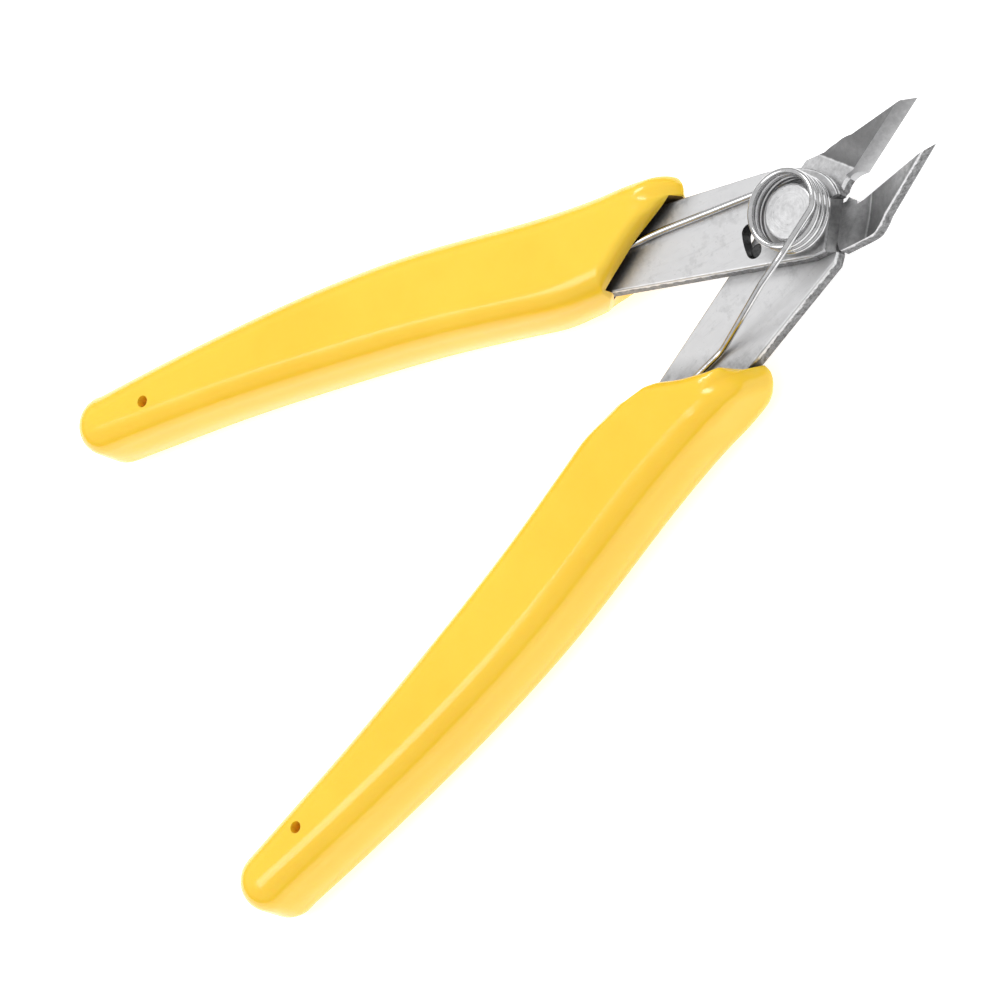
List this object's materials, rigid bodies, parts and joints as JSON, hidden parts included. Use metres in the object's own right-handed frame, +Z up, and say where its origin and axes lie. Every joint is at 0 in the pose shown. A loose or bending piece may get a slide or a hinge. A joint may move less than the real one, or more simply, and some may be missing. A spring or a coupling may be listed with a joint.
{
  "type": "flush cut pliers",
  "caption": "Small spring-opened flush cutting pliers with flat steel levers, angled pointed jaws, a pivot coil spring and soft moulded grips.",
  "frame": {"origin": "centre of the box around the open tool, at the level of the surface it lies on", "axes": "+X from the grips to the jaws along the line that halves the opening, +Y to the front lever's grip, +Z up out of the lever plates, to the side with the spring"},
  "size_m": [0.1298, 0.0784, 0.0121],
  "materials": {
    "plate_steel": "satin ground plate",
    "rivet_steel": "turned face",
    "spring_wire": "polished drawn wire",
    "grip_pvc": "glossy soft yellow moulding"
  },
  "bodies": {
    "rear_half": {"lever_rear": "plate_steel", "grip_rear": "grip_pvc", "pivot_rivet": "rivet_steel", "stop_pin": "rivet_steel", "torsion_spring": "spring_wire"},
    "front_half": {"lever_front": "plate_steel", "grip_front": "grip_pvc"}
  },
  "joints": [
    {"name": "pivot", "type": "hinge", "parent": "rear_half", "child": "front_half", "pos_m": [0.04326, 0, 0.0055], "axis": [0, 0, 1], "range_deg": [0, 18.4], "stiffness_Nm_per_rad": 0.072, "springref_deg": -11.46, "deforming": ["torsion_spring"]}
  ]
}
